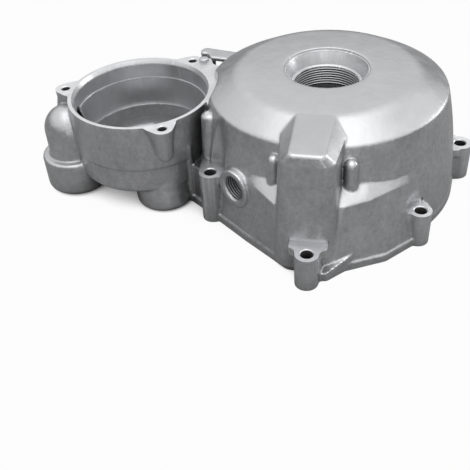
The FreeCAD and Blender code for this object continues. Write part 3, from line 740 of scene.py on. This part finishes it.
class STATORCOVER_OT_threads(Operator):
    """Fine threads of the plug hole and the timing hole"""

    bl_idname = "statorcover.threads"
    bl_label = "Threads"

    def execute(self, context):
        sizes = context.scene.stator_cover_casting
        threads = context.scene.stator_cover_threads
        tree = self.tree(threaded_aluminium(context.scene.stator_cover_looks))
        land = mount_place("plug_hole") + UP * (mount_length("plug_hole") / 2)
        self.thread("plug_thread", tree, threads, mount_radius("plug_hole"),
                    threads.plug_length, Matrix.Translation(land - UP * threads.plug_length))
        heading = timing_heading(sizes)
        turn = DOWN.rotation_difference(heading).to_matrix().to_4x4()
        mouth = Vector(sizes.timing_place) - heading * TIMING_CHAMFER
        self.thread("timing_thread", tree, threads, sizes.timing_radius,
                    threads.timing_length, Matrix.Translation(mouth) @ turn)
        return {"FINISHED"}

    @staticmethod
    def tree(finish):
        """Ridge of a thread, wound up a bore from its lower end."""
        tree = bpy.data.node_groups.new("thread", "GeometryNodeTree")
        tree.interface.new_socket("Geometry", in_out="OUTPUT", socket_type="NodeSocketGeometry")
        names = ("Radius", "Pitch", "Depth", "Length")
        for name in names:
            tree.interface.new_socket(name, in_out="INPUT", socket_type="NodeSocketFloat")
        graph = Graph(tree)
        radius, pitch, depth, length = (
            graph.node("NodeGroupInput", None, None, name) for name in names)
        rise = length - pitch
        line = graph.node("GeometryNodeCurveSpiral", None, {
            "Resolution": 96, "Rotations": rise / pitch, "Start Radius": radius,
            "End Radius": radius, "Height": rise, "Reverse": False})
        upright = graph.node("GeometryNodeSetCurveNormal", {"mode": "Z_UP"}, {"Curve": line})
        # The ridge is a blunt wedge, nearly a pitch wide at its foot.
        foot, crest, top = pitch * 0.46, pitch * 0.07, depth * -1.0
        sunk = 0.03 * MM  # lets the ridge's foot reach into the wall of the bore
        corners = [graph.node("ShaderNodeCombineXYZ", None, {"X": across, "Y": along})
                   for across, along in ((sunk, foot), (top, crest), (top, crest * -1.0),
                                         (sunk, foot * -1.0))]
        profile = graph.node("GeometryNodeCurvePrimitiveQuadrilateral", {"mode": "POINTS"}, {
            "Point %d" % number: corner for number, corner in enumerate(corners, 1)})
        ridge = graph.node("GeometryNodeCurveToMesh", None, {
            "Curve": upright, "Profile Curve": profile, "Fill Caps": True})
        lift = graph.node("ShaderNodeCombineXYZ", None, {"Z": pitch * 0.5})
        lifted = graph.node("GeometryNodeTransform", None, {
            "Geometry": ridge, "Translation": lift})
        real = graph.node("GeometryNodeRealizeInstances", None, {"Geometry": lifted})
        painted = graph.node("GeometryNodeSetMaterial", None, {
            "Geometry": real, "Material": finish})
        graph.node("NodeGroupOutput", None, {0: painted})
        return tree

    @staticmethod
    def thread(name, tree, threads, radius, length, place):
        """One thread as a closed mesh, moved from the origin to its bore."""
        ridge = mesh_object(name, bpy.data.meshes.new(name))
        wound = ridge.modifiers.new("thread", "NODES")
        wound.node_group = tree
        values = {"Radius": radius, "Pitch": threads.pitch, "Depth": threads.depth,
                  "Length": length}
        for item in tree.interface.items_tree:
            if item.name in values:
                wound[item.identifier] = values[item.name]
        apply_stack(ridge)
        if not ridge.data.polygons:
            raise RuntimeError(name + " came out empty")
        ridge.data.transform(place)
        solid = bmesh.new()
        solid.from_mesh(ridge.data)
        bmesh.ops.remove_doubles(solid, verts=solid.verts, dist=MM / 10000)
        bmesh.ops.recalc_face_normals(solid, faces=solid.faces)
        solid.to_mesh(ridge.data)
        solid.free()
        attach(ridge, "root")


class STATORCOVER_OT_stage(Operator):
    """Floor, lights and camera"""

    bl_idname = "statorcover.stage"
    bl_label = "Stage"

    def execute(self, context):
        scene = context.scene
        looks = scene.stator_cover_looks
        reach = 6.0
        floor_mesh = bpy.data.meshes.new("floor")
        floor_mesh.from_pydata([(-reach, -reach, 0), (reach, -reach, 0), (reach, reach, 0),
                                (-reach, reach, 0)], [], [(0, 1, 2, 3)])
        floor_mesh.materials.append(pale_floor(looks))
        floor = mesh_object("floor", floor_mesh)
        floor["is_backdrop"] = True
        scene.world = self.studio(looks)
        middle, dome = (0, 0, 0.03), (0, 0, 0.06)
        watts = looks.lamp
        self.lamp("overhead", (0, -0.05, 1.0), aim=middle, width=0.9, watts=watts)
        self.lamp("front", (0.1, -0.55, 0.85), aim=middle, width=0.35, watts=watts * 0.1)
        self.lamp("low front", (0, -1.2, 0.16), aim=dome, width=0.25, watts=watts * 0.2)
        self.lamp("right", (0.9, 0.3, 0.35), aim=middle, width=0.35, watts=watts * 0.5)
        scene.view_settings.view_transform = "Standard"
        self.camera(scene)
        return {"FINISHED"}

    @staticmethod
    def studio(looks):
        """Soft light that grows from the floor up, with white behind everything."""
        world = bpy.data.worlds.new("studio")
        world.use_nodes = True
        graph = Graph(world.node_tree)
        direction = graph.node("ShaderNodeTexCoord", None, None, "Generated")
        height = graph.node("ShaderNodeSeparateXYZ", None, {0: direction}, "Z")
        rise = graph.node("ShaderNodeMapRange", {"interpolation_type": "SMOOTHSTEP"}, {
            "Value": height, "From Min": 0.05, "From Max": 0.55, "To Min": looks.sky_low,
            "To Max": looks.sky_high})
        camera = graph.node("ShaderNodeLightPath", None, None, "Is Camera Ray")
        seen = graph.node("ShaderNodeMath", {"operation": "MAXIMUM"}, {0: rise, 1: camera})
        sky = graph.node("ShaderNodeBackground", None, {"Color": (1, 1, 1, 1), "Strength": seen})
        graph.node("ShaderNodeOutputWorld", None, {"Surface": sky})
        return world

    @staticmethod
    def lamp(name, place, aim, width, watts):
        """Square lamp that faces a point."""
        data = bpy.data.lights.new(name, "AREA")
        data.size = width
        data.energy = watts
        lamp = bpy.data.objects.new(name, data)
        lamp.location = place
        lamp.rotation_mode = "QUATERNION"
        lamp.rotation_quaternion = (Vector(aim) - Vector(place)).to_track_quat("-Z", "Y")
        bpy.context.scene.collection.objects.link(lamp)

    @staticmethod
    def camera(scene):
        """Camera that looks down on the cover and is turned about its own line of sight."""
        place = Vector((-0.05737, -0.36541, 0.25999))
        pitch, roll = math.radians(39.89), math.radians(-4.01)
        forward = Vector((0, math.cos(pitch), -math.sin(pitch)))
        level_right = Vector((1, 0, 0))
        level_up = level_right.cross(forward)
        right = math.cos(roll) * level_right + math.sin(roll) * level_up
        up = -math.sin(roll) * level_right + math.cos(roll) * level_up
        data = bpy.data.cameras.new("camera")
        data.sensor_width = 36
        data.lens = 55.53
        data.clip_start = 10 * MM
        camera = bpy.data.objects.new("camera", data)
        scene.collection.objects.link(camera)
        turn = Matrix((right, up, -forward)).transposed()
        camera.matrix_world = Matrix.Translation(place) @ turn.to_4x4()
        scene.camera = camera


class STATORCOVER_PT_panel(Panel):
    """Steps, sizes and looks of the stator cover"""

    bl_label = "Stator cover"
    bl_idname = "STATORCOVER_PT_panel"
    bl_space_type = "VIEW_3D"
    bl_region_type = "UI"
    bl_category = "Stator cover"

    def draw(self, context):
        for operator in OPERATORS:
            self.layout.operator(operator.bl_idname)
        for group in GROUPS:
            holder = getattr(context.scene, group)
            for name in holder.bl_rna.properties.keys():
                if name not in ("rna_type", "name"):
                    self.layout.prop(holder, name)


GROUPS = {
    "stator_cover_casting": StatorCoverCasting,
    "stator_cover_threads": StatorCoverThreads,
    "stator_cover_looks": StatorCoverLooks,
}
OPERATORS = (STATORCOVER_OT_casting, STATORCOVER_OT_threads, STATORCOVER_OT_stage)


def register():
    for name, group in GROUPS.items():
        bpy.utils.register_class(group)
        setattr(bpy.types.Scene, name, PointerProperty(type=group))
    for operator in OPERATORS:
        bpy.utils.register_class(operator)
    bpy.utils.register_class(STATORCOVER_PT_panel)


def unregister():
    bpy.utils.unregister_class(STATORCOVER_PT_panel)
    for operator in reversed(OPERATORS):
        bpy.utils.unregister_class(operator)
    for name, group in GROUPS.items():
        delattr(bpy.types.Scene, name)
        bpy.utils.unregister_class(group)


def corners():
    """Lowest and highest corner of the shown object, as plain lists."""
    return [list(corner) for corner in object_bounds()]


def main():
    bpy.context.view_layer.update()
    register()
    bpy.ops.statorcover.casting()
    bpy.ops.statorcover.threads()
    bpy.ops.statorcover.stage()


if __name__ == "__main__":
    main()
